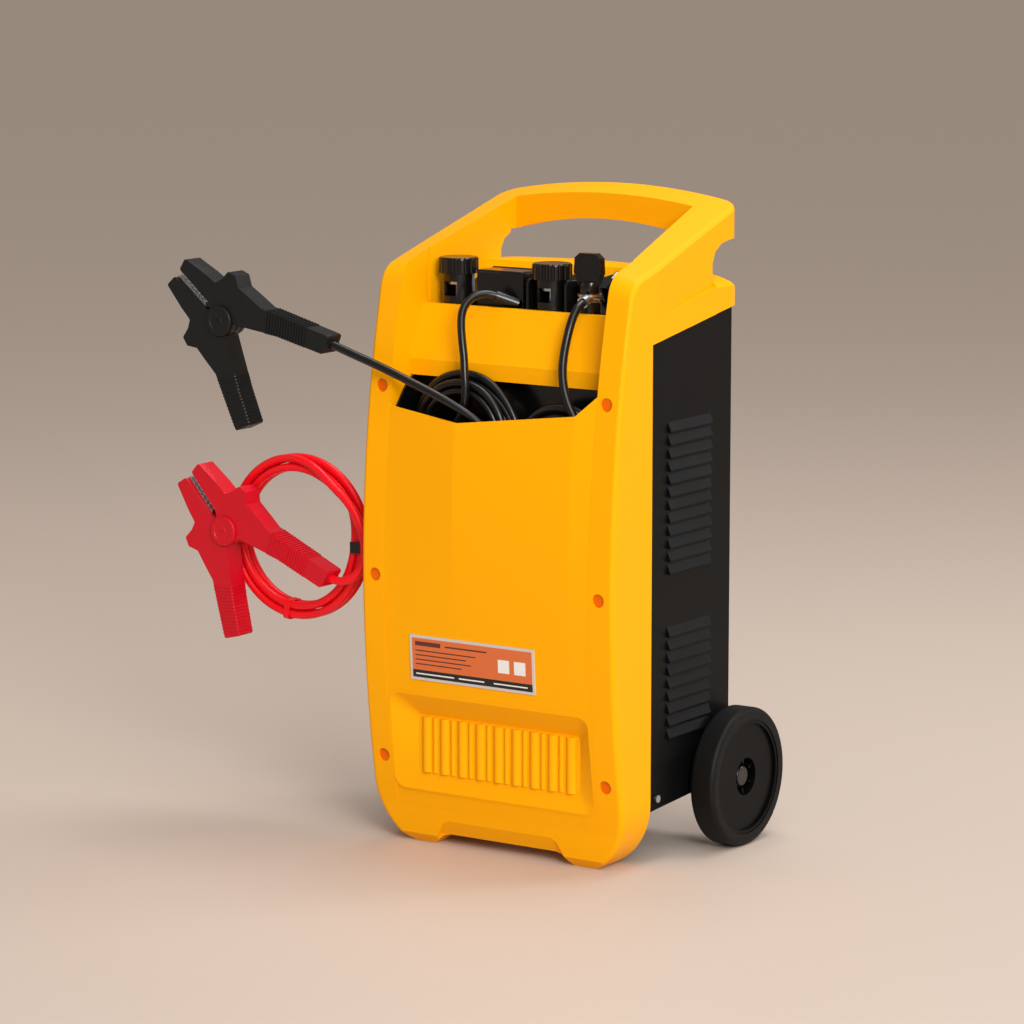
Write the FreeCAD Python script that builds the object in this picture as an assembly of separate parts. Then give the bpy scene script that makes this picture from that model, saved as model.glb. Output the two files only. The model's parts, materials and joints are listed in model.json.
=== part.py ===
"""Wheeled car battery charger, built as separate named pieces, in millimetres.

+Z is up and the front faces -Y.  The origin is on the floor, under the middle of the
machine's footprint.  Depths along Y are measured from JOINT_Y, the plane where the
orange front moulding meets the black steel case, so a point written (dy, z) lies at
Y = JOINT_Y + dy.
"""
import FreeCAD
import Part
import math
import os
from FreeCAD import Vector as V

os.makedirs("parts", exist_ok=True)

# ---- driving dimensions ---------------------------------------------------------
HALF_W = 156.5          # half width of the moulding
JOINT_Y = -67.0         # moulding / steel case joint plane
HANDLE_TOP = 617.0      # height of the cheeks' upper edge at the joint plane
HANDLE_SLOPE = 0.297    # rise of the handle per mm towards the back
CROWN = 18.0            # how far the grip arches above the cheeks
RIM_IN = 127.5          # half width between the front rims
BAR_IN = 111.0          # half width between the cheeks at the grip
BAR_FRONT = 150.0       # front face of the grip
BAR_REAR = 185.0        # rear face of the grip
WALL = 3.5              # plastic wall thickness
SHEET = 1.3             # steel sheet thickness
DECK_Z = 566.0          # flat part of the control deck
DECK_TILT = 30.8        # slope of the control panel, degrees
DECK_BEND = 46.0        # where the deck starts to slope
LEDGE_FRONT = 571.0     # height of the top cover's ledge at the joint plane
CASE_FLOOR = 57.0       # underside of the tray at the joint plane
TRAY_TOP = 106.0
SIDE_X = 156.0          # outer face of the steel sides
WHEEL_R = 73.7
WHEEL_Y = 138.6
WHEEL_IN = 163.0
WHEEL_OUT = 192.0
AXLE_R = 6.0
SCREW_X = 139.0
SCREW_Z = (487.0, 289.0, 93.0)
BIN_FRONT = -60.0       # cable pocket, in depth
BIN_BACK = -4.0
BIN_FLOOR = 335.0
MAINS_D = 8.5
LEAD_D = 9.0
TERMINAL_X = (-99.0, 18.5)
TERMINAL_Y = 23.5
POST_X = 67.0
POST_Y = 19.5
CLAMP_T = 24.0          # thickness of a clamp

FRONT_LOW = (-50.0, 40.0)
FRONT_MID = (-74.0, 313.0)
FRONT_HIGH = (-41.0, 586.0)


# ---- small builders -------------------------------------------------------------
def yz(dy, z, x=0.0):
    return V(x, JOINT_Y + dy, z)


def polygon(points):
    return Part.Face(Part.makePolygon(points + [points[0]]))


def prism_x(outline, x0, x1):
    """Extrude a (dy, z) outline from x0 to x1."""
    return polygon([yz(dy, z, x0) for dy, z in outline]).extrude(V(x1 - x0, 0, 0))


def prism_y(outline, dy0, dy1):
    """Extrude an (x, z) outline between two depths."""
    points = [yz(dy0, z, x) for x, z in outline]
    return polygon(points).extrude(V(0, dy1 - dy0, 0))


def prism_z(outline, z0, z1):
    """Extrude an (x, dy) outline between two heights."""
    points = [yz(dy, z0, x) for x, dy in outline]
    return polygon(points).extrude(V(0, 0, z1 - z0))


def box(x0, x1, dy0, dy1, z0, z1):
    return Part.makeBox(x1 - x0, dy1 - dy0, z1 - z0, yz(dy0, z0, x0))


def rod(start, direction, radius, length):
    return Part.makeCylinder(radius, length, start, direction)


def fuse(shapes):
    first, rest = shapes[0], shapes[1:]
    return first.fuse(rest).removeSplitter() if rest else first


def group(shapes):
    return Part.makeCompound(shapes)


def save(node, shape):
    shape.exportStep("parts/" + node + ".step")


def front_dy(z, bulge=0.0):
    """Depth of the moulding's bowed front at height z."""
    low, mid, high = (V(0, *FRONT_LOW), V(0, FRONT_MID[0] - bulge, FRONT_MID[1]), V(0, *FRONT_HIGH))
    arc = Part.Arc(low, mid, high)
    hits = arc.toShape().section(Part.makePlane(400, 400, V(-200, -200, z), V(0, 0, 1)))
    return hits.Vertexes[0].Point.y


def inner_half(dy):
    """Half width between the cheeks at a depth."""
    t = max(0.0, dy) / BAR_FRONT
    return RIM_IN + (BAR_IN - RIM_IN) * t


def between_cheeks(clearance, z0, z1):
    """The tapered space between the cheeks, as a solid."""
    front, back = RIM_IN - clearance, BAR_IN - clearance
    plan = [(-front, -100), (front, -100), (front, 0), (back, BAR_FRONT), (-back, BAR_FRONT), (-front, 0)]
    return prism_z(plan, z0, z1)


def arched_top(z_side, crown, slope, dy0, dy1, z_low):
    """A solid under a roof that arches along X and climbs towards the back."""
    left, top, right = yz(dy0, z_side, -HALF_W - 4), yz(dy0, z_side + crown), yz(dy0, z_side, HALF_W + 4)
    low_right, low_left = yz(dy0, z_low, HALF_W + 4), yz(dy0, z_low, -HALF_W - 4)
    roof = Part.Arc(left, top, right).toShape()
    sides = Part.makePolygon([right, low_right, low_left, left])
    face = Part.Face(Part.Wire([roof] + sides.Edges))
    return face.extrude(V(0, dy1 - dy0, slope * (dy1 - dy0)))


# ---- orange moulding ------------------------------------------------------------
def side_profile(x0, x1, inset=0.0):
    """Side view of the whole moulding: bowed front, foot, back at the grip."""
    low = yz(FRONT_LOW[0] + inset, FRONT_LOW[1], x0)
    mid = yz(FRONT_MID[0] + inset, FRONT_MID[1], x0)
    high = yz(FRONT_HIGH[0] + inset, FRONT_HIGH[1], x0)
    bow = Part.Arc(low, mid, high).toShape()
    rest = [high, yz(-26 + inset, 656, x0), yz(BAR_REAR - inset, 720, x0), yz(BAR_REAR - inset, 0, x0)]
    rest += [yz(-37 + inset, 0, x0), yz(-46 + inset, 10, x0), low]
    face = Part.Face(Part.Wire([bow] + Part.makePolygon(rest).Edges))
    return face.extrude(V(x1 - x0, 0, 0))


def front_outline():
    """Front view: straight sides that round in to two feet with a low arch between."""
    reach, turn = 116.0, 74.0
    centre = HALF_W - turn
    mid = math.radians(-40)
    arcs = []
    for s in (1, -1):
        start, end = yz(-120, 66, s * HALF_W), yz(-120, 0, s * reach)
        middle = yz(-120, 66 + turn * math.sin(mid), s * (centre + turn * math.cos(mid)))
        arcs.append(Part.Arc(start, middle, end).toShape())
    foot = [(reach, 0), (88, 0), (76, 10), (66, 12.5), (-66, 12.5), (-76, 10), (-88, 0), (-reach, 0)]
    sole = Part.makePolygon([yz(-120, z, x) for x, z in foot])
    sides = Part.makePolygon([yz(-120, 66, -HALF_W), yz(-120, 800, -HALF_W),
                              yz(-120, 800, HALF_W), yz(-120, 66, HALF_W)])
    wire = Part.Wire(Part.__sortEdges__(arcs + sole.Edges + sides.Edges))
    return Part.Face(wire).extrude(V(0, 320, 0))


def edges_where(shape, test):
    return [e for e in shape.Edges if test(e)]


def moulding_block():
    """The moulding's outer form as one rounded block."""
    block = side_profile(-HALF_W, HALF_W)
    block = block.common(front_outline())
    block = block.common(arched_top(HANDLE_TOP - HANDLE_SLOPE * 100, CROWN, HANDLE_SLOPE, -100, 200, -200))

    def top_front(edge):
        box_ = edge.BoundBox
        return box_.ZMin > 580 and box_.XLength > 300 and box_.YMax < JOINT_Y

    block = block.makeFillet(30.0, edges_where(block, top_front))
    rear_x = 147.5
    wedge = prism_x([(9, LEDGE_FRONT), (124, 592), (200, 606), (200, 800), (9, 800)], 130, 170)
    for s in (1, -1):
        slant = prism_z([(s * HALF_W, 9), (s * 170, 9), (s * 170, 200), (s * rear_x, 200)], 500, 800)
        side = wedge if s > 0 else wedge.mirror(V(0, 0, 0), V(1, 0, 0))
        block = block.cut(slant.common(side))
    rear = edges_where(block, lambda e: e.BoundBox.YMin > JOINT_Y + BAR_REAR - 1 and e.BoundBox.ZMin > 600
                       and e.BoundBox.ZLength > 40 and e.BoundBox.XLength < 1)
    block = block.makeFillet(20.0, rear)

    def crease(edge):
        size = edge.BoundBox
        side_edge = abs(edge.CenterOfMass.x) > 100 and size.YLength > 0.3 and size.YMax < JOINT_Y + 9.5
        return side_edge or (size.ZMin > 612 and size.YMax > JOINT_Y + 20)

    return block.makeFillet(5.0, edges_where(block, crease))


# stations across the front panel: x, height of the lip, how far it stands forward
PANEL_STATIONS = ((-129.5, 467.0, -0.5), (-38.0, 456.0, 8.0), (104.0, 473.0, 3.0), (129.5, 496.0, -0.5))


def panel_section(x, lip, bulge):
    """One closed (dy, z) section of the front panel's shell."""
    front, back = [], []
    for i in range(8):
        z = 41.0 + (lip - 41.0) * i / 7.0
        t = min(1.0, max(0.0, (z - 190.0) / 260.0))
        dy = front_dy(z) - (bulge * t * t * (3 - 2 * t) if bulge > 0 else bulge)
        front.append(yz(dy, z, x))
        back.append(yz(dy + WALL, z, x))
    curves = []
    for points in (front, back):
        curve = Part.BSplineCurve()
        curve.interpolate(points)
        curves.append(curve.toShape())
    ends = [Part.makeLine(front[0], back[0]), Part.makeLine(front[-1], back[-1])]
    return Part.Wire(Part.__sortEdges__(curves + ends))


def front_panel():
    """The broad panel between the rims, creased along two lines."""
    wires = [panel_section(*station) for station in PANEL_STATIONS]
    bays = [Part.makeLoft([a, b], True, True) for a, b in zip(wires, wires[1:])]
    return fuse(bays)


def rounded_quad(corners, radius):
    """A closed wire through four corners with rounded turns."""
    edges = []
    starts = []
    for i, c in enumerate(corners):
        before, after = corners[i - 1], corners[(i + 1) % 4]
        a = c + (before - c).normalize() * radius
        b = c + (after - c).normalize() * radius
        middle = c + ((a + b) * 0.5 - c) * 0.586
        edges.append(Part.Arc(a, middle, b).toShape())
        starts.append((a, b))
    for i in range(4):
        edges.append(Part.makeLine(starts[i][1], starts[(i + 1) % 4][0]))
    return Part.Wire(Part.__sortEdges__(edges))


def dish(grow):
    """The shallow recess low on the front, as a solid; grow makes its outside skin."""
    g = grow * 0.8
    low, high = front_dy(61), front_dy(165)
    mouth = [yz(low - 0.6, 61 - g, -126 - g), yz(low - 0.6, 61 - g, 123 + g),
             yz(high - 0.6, 165 + g, 123 + g), yz(high - 0.6, 165 + g, -126 - g)]
    floor = [yz(-52 + grow, 78 - g, -99 - g), yz(-52 + grow, 78 - g, 104 + g),
             yz(-52 + grow, 141 + g, 104 + g), yz(-52 + grow, 141 + g, -99 - g)]
    return Part.makeLoft([rounded_quad(mouth, 12 + g), rounded_quad(floor, 5 + g)], True, True)


def dish_mouth():
    """Clears whatever stands in front of the recess."""
    low, high = front_dy(61), front_dy(165)
    mouth = [yz(low - 0.6, 61, -126), yz(low - 0.6, 61, 123), yz(high - 0.6, 165, 123), yz(high - 0.6, 165, -126)]
    return Part.Face(rounded_quad(mouth, 12)).extrude(V(0, -20, 0))


def dish_ribs():
    """Upright rounded ribs on the recess floor, wide ones and narrow ones in turn."""
    ribs = []
    for i in range(9):
        centre = -88.0 + 22.6 * i
        for x, half, proud in ((centre, 5.6, 4.0), (centre + 10.8, 3.0, 2.6)):
            arc = Part.Arc(yz(-51.9, 80, x - half), yz(-52 - proud, 80, x), yz(-51.9, 80, x + half)).toShape()
            back = Part.makePolygon([yz(-51.9, 80, x + half), yz(-50, 80, x + half),
                                     yz(-50, 80, x - half), yz(-51.9, 80, x - half)])
            face = Part.Face(Part.Wire([arc] + back.Edges))
            if x + half < 103:
                ribs.append(face.extrude(V(0, 0, 59)))
    return ribs


def cover_roof(inset):
    """Roof line of the top cover in front view, as a solid."""
    points = []
    for x, z in ((-156.5, 590), (-150, 597), (-127, 605), (-60, 609.5), (0, 611),
                 (60, 609.5), (127, 605), (150, 597), (156.5, 590)):
        points.append(yz(90, z - inset, x * (HALF_W - inset) / HALF_W))
    curve = Part.BSplineCurve()
    curve.interpolate(points)
    base = Part.makePolygon([points[-1], yz(90, 520, HALF_W - inset), yz(90, 520, -HALF_W + inset), points[0]])
    return Part.Face(Part.Wire([curve.toShape()] + base.Edges)).extrude(V(0, 90, 0))


def top_cover():
    """Orange cover behind the deck that closes the top of the case."""
    outside = [(98, 560), (98, 598), (103, 607), (113, 611), (125, 611), (156, 594), (160, 588), (160, 569), (90, 558)]
    inside = [(101.5, 500), (101.5, 596), (105, 604), (114, 607.5), (124, 607.5), (153.5, 591), (156.5, 586),
              (156.5, 500)]
    shell = prism_x(outside, -HALF_W, HALF_W).common(cover_roof(0))
    front_part = prism_z([(-inner_half(90) - 1, 90), (inner_half(90) + 1, 90), (inner_half(124) + 1, 124),
                          (-inner_half(124) - 1, 124)], 500, 700)
    rear_part = box(-HALF_W, HALF_W, 124, 170, 500, 700)
    shell = shell.common(fuse([front_part, rear_part]))
    hollow = prism_x(inside, -HALF_W + WALL, HALF_W - WALL).common(cover_roof(WALL))
    return shell, hollow


def under_grip():
    """The hand space under the grip."""
    arc = Part.Arc(yz(140, 635, -118), yz(140, 652, 0), yz(140, 635, 118)).toShape()
    base = Part.makePolygon([yz(140, 635, 118), yz(140, 560, 118), yz(140, 560, -118), yz(140, 635, -118)])
    return Part.Face(Part.Wire([arc] + base.Edges)).extrude(V(0, 60, 0))


def screw_points():
    return [(s * SCREW_X, z) for s in (-1, 1) for z in SCREW_Z]


def moulding():
    """The orange front, rims, cheeks, grip and top cover, in one shell."""
    body = moulding_block()
    case_room = prism_x([(0, -5), (0, 543), (155, 568), (300, 591), (300, -5)], -200, 200)
    body = body.cut(case_room)
    behind = prism_x([(124, 560), (124, 616), (130, 627), (142, 634), (152, 636), (200, 641), (200, 560)],
                     -200, 200)
    body = body.cut(behind)
    body = body.cut(under_grip())
    body = body.cut(between_cheeks(0, 45, 800).cut(box(-200, 200, BAR_FRONT, 300, 0, 800)))
    inner = side_profile(-HALF_W + WALL, HALF_W - WALL, WALL)
    rims = []
    for s in (-1, 1):
        rims.append(box(min(s * 131, s * 153), max(s * 131, s * 153), -90, 0, 15, 559))
        rims.append(box(min(s * 131, s * 153), max(s * 131, s * 153), -1, 160, 15, 559))
    foot_limit = prism_y([(-153, 70), (-140, 38), (-112, 16), (112, 16), (140, 38), (153, 70), (153, 700),
                          (-153, 700)], -120, 200)
    chin_fill = prism_x([(-60, 12.5), (-34, 12.5), (-46, 44), (-60, 44)], -90, 90)
    middle = box(-127.5, 127.5, -90, 10, 16, 800).cut(chin_fill)
    for room in rims + [middle]:
        body = body.cut(room.common(inner).common(foot_limit))
    cover, cover_hollow = top_cover()
    pieces = [front_panel(), cover]
    deck_wall = prism_x([(0, 569), (-25, 513), (-25, 496), (-21.5, 496), (-21.5, 512), (3.2, 565.5), (6, 565.5),
                         (6, 569)], -130, 130)
    pieces.append(deck_wall)
    ledge = prism_x([(3, 560), (48, 560), (98, 590), (98, 594), (46, 563.6), (3, 563.6)], -131, 131)
    ledge = ledge.cut(between_cheeks(7, 500, 700)).common(between_cheeks(-3, 500, 700))
    pieces.append(ledge)
    skin = dish(2.5).common(box(-129, 128, -90, 0, 50, 180))
    pieces.append(skin)
    for x, z in screw_points():
        start = yz(front_dy(z) + 2.5, z, x)
        pieces.append(rod(start, V(0, 1, 0), 9.5, JOINT_Y - start.y))
    for piece in pieces:
        body = body.fuse(piece)
    body = body.cut(cover_hollow)
    body = body.cut(dish(0)).cut(dish_mouth())
    body = body.fuse(dish_ribs())
    cuts = []
    for x, z in screw_points():
        front = JOINT_Y + front_dy(z)
        cuts.append(rod(V(x, front - 20, z), V(0, 1, 0), 7.0, 30))
        cuts.append(rod(V(x, front, z), V(0, 1, 0), 2.4, 100))
    chin = prism_x([(-40, 12), (-50, 31.5), (-80, 31.5), (-80, -1), (-40, -1)], -90, 90)
    chin = chin.common(prism_y([(-86, -1), (-72, 24), (-60, 31.5), (60, 31.5), (72, 24), (86, -1)], -100, 10))
    cuts.append(chin)
    cuts.append(box(-85, 85, 157, 180, 657, 668))
    for cut in cuts:
        body = body.cut(cut)
    return body


def split_grip(body):
    """Part the grip into the moulding's half and the separate rear shell."""
    rear = body.common(box(-200, 200, 176.2, 220, 600, 720))
    front = body.cut(box(-200, 200, 176.0, 220, 600, 720))
    return front, rear


front, grip_rear = split_grip(moulding())
save("front_moulding", front)
save("handle_rear_shell", grip_rear)


# ---- black pocket and control deck ----------------------------------------------
def pocket():
    side = [(-60, BIN_FLOOR), (-2, BIN_FLOOR), (-2, 545), (-4, 545), (-18.5, 511), (-18.5, 494.5), (-28, 493),
            (-36, 485), (-54, 463), (-60, 443)]
    outer = prism_x(side, -127.1, 127.1)
    inner = box(-125, 125, BIN_FRONT + 2, BIN_BACK, BIN_FLOOR + 2, 600)
    return outer.cut(inner)


def deck_local(shape):
    """Place a shape drawn with X across, Y up the slope and Z out of the sloping panel."""
    place = FreeCAD.Placement(yz(DECK_BEND, DECK_Z), FreeCAD.Rotation(V(1, 0, 0), DECK_TILT))
    shape.Placement = place.multiply(shape.Placement)
    return shape


def local_box(x0, x1, v0, v1, n0, n1):
    return deck_local(Part.makeBox(x1 - x0, v1 - v0, n1 - n0, V(x0, v0, n0)))


METER_X = -69.0
ROCKER_X = (-14.0, 14.0)
TIMER_X = 66.0
SLOPE_MID = 30.0


def deck():
    outline = [(6.4, 566), (46, 566), (97.6, 596.8), (97.6, 594.4), (46.5, 564), (6.4, 564)]
    sheet = prism_x(outline, -130, 130).common(between_cheeks(0.4, 500, 700))
    for x in TERMINAL_X:
        sheet = sheet.cut(rod(yz(TERMINAL_Y, 560, x), V(0, 0, 1), 6, 10))
    sheet = sheet.cut(rod(yz(POST_Y, 560, POST_X), V(0, 0, 1), 6, 10))
    sheet = sheet.cut(box(-60, -26, 20, 38, 560, 570))
    meter_hole = Part.makeCylinder(21.3, 20, V(METER_X, SLOPE_MID, -10))
    timer_hole = Part.makeCylinder(5, 20, V(TIMER_X, SLOPE_MID, -10))
    sheet = sheet.cut(deck_local(meter_hole)).cut(deck_local(timer_hole))
    for x in ROCKER_X:
        sheet = sheet.cut(local_box(x - 8.2, x + 8.2, SLOPE_MID - 12.2, SLOPE_MID + 12.2, -10, 10))
    return sheet


def entry_box():
    shell = box(-70, -12, 15, 42, 566.2, 606)
    shell = shell.makeFillet(3, edges_where(shell, lambda e: e.BoundBox.ZMin > 570))
    shell = shell.cut(box(-67.5, -14.5, 17.5, 39.5, 560, 603.5))
    return shell.cut(rod(BUSH_AT - BUSH_DIR * 8, BUSH_DIR, 7.2, 24))


BUSH_AT = yz(15, 574, -23)
BUSH_DIR = V(-0.7, -0.6, 0.35).normalize()


def bush():
    start = BUSH_AT - BUSH_DIR * 4
    sleeve = Part.makeCone(7.1, 5.8, 25, start, BUSH_DIR)
    return sleeve.cut(rod(start - BUSH_DIR, BUSH_DIR, MAINS_D / 2 + 0.15, 30))


save("pocket_bin", pocket())
save("control_deck", deck())
save("cord_entry_box", entry_box())
save("cord_bush", bush())


# ---- meter, switches and timer on the sloping panel -------------------------------
def cyl_local(x, v, n0, n1, radius):
    return deck_local(Part.makeCylinder(radius, n1 - n0, V(x, v, n0)))


def meter():
    case = local_box(METER_X - 28, METER_X + 28, 4, 52, 0.2, 11)
    case = case.fuse(cyl_local(METER_X, SLOPE_MID, -15, 1, 20.5))
    case = case.cut(local_box(METER_X - 24, METER_X + 24, 8, 48, 3, 12))
    case = case.fuse(cyl_local(METER_X, 14, 2, 6.4, 0.8))
    needle = cyl_local(METER_X, 14, 4.2, 6.4, 3)
    blade = Part.makeBox(1.2, 27, 0.8, V(METER_X - 0.6, 14, 4.8))
    blade.rotate(V(METER_X, 14, 0), V(0, 0, 1), 40)
    needle = needle.fuse(deck_local(blade)).cut(cyl_local(METER_X, 14, 0, 8, 0.85))
    lens = local_box(METER_X - 23.8, METER_X + 23.8, 8.2, 47.8, 8.4, 9.8)
    return case, needle, lens


def rocker(x):
    """A see-saw key, resting pressed at its lower end."""
    outline = [(-10, 1.0), (0, -0.6), (10, 1.0), (10, -4), (3, -9), (-3, -9), (-10, -4)]
    points = [V(x - 6, v, n + 3.5) for v, n in outline]
    key = Part.Face(Part.makePolygon(points + [points[0]])).extrude(V(12, 0, 0))
    key = key.cut(Part.makeCylinder(1.55, 14, V(x - 7, 0, 0), V(1, 0, 0)))
    key.rotate(V(x, 0, 0), V(1, 0, 0), -12)
    key.translate(V(0, SLOPE_MID, 0))
    return deck_local(key)


def rocker_frame(x):
    rim = local_box(x - 10, x + 10, SLOPE_MID - 14, SLOPE_MID + 14, 0.2, 2.4)
    body = local_box(x - 8, x + 8, SLOPE_MID - 12, SLOPE_MID + 12, -16, 0.4)
    frame = rim.fuse(body).cut(local_box(x - 6.4, x + 6.4, SLOPE_MID - 11.2, SLOPE_MID + 11.2, -12, 10))
    pin = deck_local(Part.makeCylinder(1.5, 13.6, V(x - 6.8, SLOPE_MID, 0), V(1, 0, 0)))
    return frame.fuse(pin)


def timer():
    body = cyl_local(TIMER_X, SLOPE_MID, -18, -2.4, 18).fuse(cyl_local(TIMER_X, SLOPE_MID, -3, 12, 3))
    knob = cyl_local(TIMER_X, SLOPE_MID, 1.2, 5, 17).fuse(cyl_local(TIMER_X, SLOPE_MID, 4, 18, 13))
    ridge = local_box(TIMER_X - 2, TIMER_X + 2, SLOPE_MID - 14, SLOPE_MID + 16, 5, 20)
    return body, knob.fuse(ridge).cut(cyl_local(TIMER_X, SLOPE_MID, 0, 13, 3.05))


meter_case, meter_needle, meter_lens = meter()
timer_body, timer_knob = timer()
save("ammeter_case", meter_case)
save("ammeter_needle", meter_needle)
save("ammeter_lens", meter_lens)
save("switch_bodies", group([rocker_frame(x) for x in ROCKER_X] + [timer_body]))
save("power_rocker", rocker(ROCKER_X[0]))
save("charge_rocker", rocker(ROCKER_X[1]))
save("timer_knob", timer_knob)


# ---- output terminals --------------------------------------------------------------
def terminal_body(x):
    body = rod(yz(TERMINAL_Y, 566.2, x), V(0, 0, 1), 17, 33.6)
    body = body.cut(rod(yz(TERMINAL_Y, 572, x), V(0, 0, 1), 12.4, 40))
    body = body.cut(rod(yz(TERMINAL_Y, 560, x), V(0, 0, 1), 4.2, 20))
    return body.cut(box(x - 8, x + 8, TERMINAL_Y - 20, TERMINAL_Y - 8, 577, 592))


def stud(x, y, top):
    shank = rod(yz(y, 535, x), V(0, 0, 1), 4.0, top - 535)
    return shank.fuse(rod(yz(y, 558, x), V(0, 0, 1), 9, 5.5))


def terminal_knob(x):
    cap = rod(yz(TERMINAL_Y, 600.4, x), V(0, 0, 1), 21, 16.6)
    cap = cap.makeFillet(2.5, edges_where(cap, lambda e: e.BoundBox.ZMin > 616))
    for i in range(20):
        angle = math.radians(18 * i)
        flute = rod(yz(TERMINAL_Y + 21.6 * math.sin(angle), 600, x + 21.6 * math.cos(angle)), V(0, 0, 1), 1.9, 20)
        cap = cap.cut(flute)
    skirt = rod(yz(TERMINAL_Y, 591.4, x), V(0, 0, 1), 10.5, 10)
    return cap.fuse(skirt).cut(rod(yz(TERMINAL_Y, 590, x), V(0, 0, 1), 4.05, 22.5))


def washer(x, y, z, radius):
    return rod(yz(y, z, x), V(0, 0, 1), radius, 2.6).cut(rod(yz(y, z - 1, x), V(0, 0, 1), 4.3, 5))


def post():
    base = rod(yz(POST_Y, 566.2, POST_X), V(0, 0, 1), 12.8, 12.8)
    return base.cut(rod(yz(POST_Y, 560, POST_X), V(0, 0, 1), 4.2, 30))


def lug():
    """Ring terminal crimped on the black lead, clamped on the third post."""
    eye = rod(yz(POST_Y, 580, POST_X), V(0, 0, 1), 11, 2.2)
    barrel = rod(yz(4, 583.6, 73), LUG_DIR, 6.0, 7)
    tongue = prism_z([(POST_X - 5, POST_Y), (POST_X + 7, POST_Y), (79, 1), (67, 1)], 580, 582.2)
    eye = fuse([eye, tongue, barrel]).cut(rod(yz(POST_Y, 570, POST_X), V(0, 0, 1), 4.3, 20))
    return eye.cut(rod(yz(4, 583.6, 73) - LUG_DIR * 0.1, LUG_DIR, LEAD_D / 2 + 0.15, 30))


LUG_DIR = V(0, -0.94, -0.34)


def wing_knob():
    hub = rod(yz(POST_Y, 588.4, POST_X), V(0, 0, 1), 11, 12)
    left, right = POST_X - 16.5, POST_X + 16.5
    fin = [(left + 6, 596), (left, 610), (left + 1, 625), (left + 7, 630), (right - 7, 630), (right - 1, 625),
           (right, 610), (right - 6, 596)]
    fin = prism_y(fin, POST_Y - 4.5, POST_Y + 4.5)
    return hub.fuse(fin).cut(rod(yz(POST_Y, 580, POST_X), V(0, 0, 1), 4.05, 42))


def divider(x):
    plate = box(x - 1.5, x + 1.5, 8, 38, 566.2, 600)
    return plate.makeFillet(6, edges_where(plate, lambda e: e.BoundBox.ZMin > 599 and e.BoundBox.XLength > 1
                                           and e.BoundBox.YLength < 1))


save("terminal_bodies", group([terminal_body(x) for x in TERMINAL_X] + [post(), divider(-2), divider(45)]))
studs = [stud(x, TERMINAL_Y, 609) for x in TERMINAL_X] + [stud(POST_X, POST_Y, 618)]
save("terminal_studs", group(studs + [washer(POST_X, POST_Y, 585.6, 12.5)]))
save("left_terminal_knob", terminal_knob(TERMINAL_X[0]))
save("middle_terminal_knob", terminal_knob(TERMINAL_X[1]))
save("left_clamp_washer", washer(TERMINAL_X[0], TERMINAL_Y, 588.6, 11.6))
save("middle_clamp_washer", washer(TERMINAL_X[1], TERMINAL_Y, 588.6, 11.6))
save("lead_lug", lug())
save("wing_knob", wing_knob())


# ---- steel case --------------------------------------------------------------------
def louvre(z, x=SIDE_X):
    """One pressed hood: a wedge open along its lower edge."""
    hood = prism_y([(x - 0.3, z + 11.6), (x + 4, z + 1.5), (x + 4, z), (x - 0.3, z)], 30.4, 113.5)
    hollow = prism_y([(x - 3, z + 10), (x - 0.3, z + 9.6), (x + 2.9, z + 1.5), (x + 2.9, z - 2), (x - 3, z - 2)],
                     31.6, 112.3)
    return hood.cut(hollow)


def side_panel():
    """Right-hand steel side with its flanges and two banks of louvres."""
    outline = [(0.3, TRAY_TOP), (154.9, TRAY_TOP), (154.9, 567.6), (0.3, 542.8)]
    panel = prism_x(outline, SIDE_X - SHEET, SIDE_X)
    hoods = []
    for start, count in ((129.5, 9), (302.5, 12)):
        for i in range(count):
            z = start + 13.4 * i
            panel = panel.cut(box(SIDE_X - 3, SIDE_X + 1, 31.6, 112.3, z + 0.4, z + 8.5))
            hoods.append(louvre(z))
    panel = panel.fuse(hoods)
    front_flange = box(132, SIDE_X - 0.6, 0.3, 1.6, 112, 540)
    for z in SCREW_Z:
        if z > 112:
            front_flange = front_flange.cut(rod(yz(-2, z, SCREW_X), V(0, 1, 0), 2.2, 6))
    panel = panel.fuse(front_flange)
    return panel.removeSplitter()


def mirrored(shape):
    return shape.mirror(V(0, 0, 0), V(1, 0, 0))


FAN_Z = 330.0


def rear_panel():
    sheet = box(-154.5, 154.5, 152.2, 153.5, 112.5, 560)
    for i in range(-3, 4):
        half = math.sqrt(42.0 ** 2 - (11.5 * abs(i) + 2.5) ** 2)
        z = FAN_Z + 11.5 * i
        for s in (-1, 1):
            a, b = sorted((s * 4.0, s * half))
            sheet = sheet.cut(box(a, b, 150, 156, z - 2.5, z + 2.5))
    for x in (-144, 144):
        for z in (140, 330, 520):
            sheet = sheet.cut(rod(yz(150, z, x), V(0, 1, 0), 1.8, 6))
    for x in (-41, 41):
        for z in (FAN_Z - 41, FAN_Z + 41):
            sheet = sheet.cut(rod(yz(150, z, x), V(0, 1, 0), 2.0, 6))
    return sheet


def tray():
    """Folded base tray, its floor falling towards the front."""
    low = [(0.3, CASE_FLOOR), (154.9, CASE_FLOOR + 10), (154.9, 112), (0.3, 112)]
    inner = [(1.6, CASE_FLOOR + 1.4), (153.6, CASE_FLOOR + 11.3), (153.6, 130), (1.6, 130)]
    shell = prism_x(low, -154.4, 154.4).cut(prism_x(inner, -153.1, 153.1))
    shell = shell.cut(rod(V(-170, JOINT_Y + WHEEL_Y, WHEEL_R), V(1, 0, 0), AXLE_R + 0.4, 340))
    for s in (-1, 1):
        shell = shell.cut(rod(yz(-2, SCREW_Z[2], s * SCREW_X), V(0, 1, 0), 2.2, 6))
        shell = shell.cut(rod(V(s * 160, JOINT_Y + 12, 70), V(-s, 0, 0), 2.2, 10))
    for i in range(-3, 4):
        shell = shell.cut(box(i * 14 - 3, i * 14 + 3, 100, 130, 50, 80))
    return shell


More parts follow.
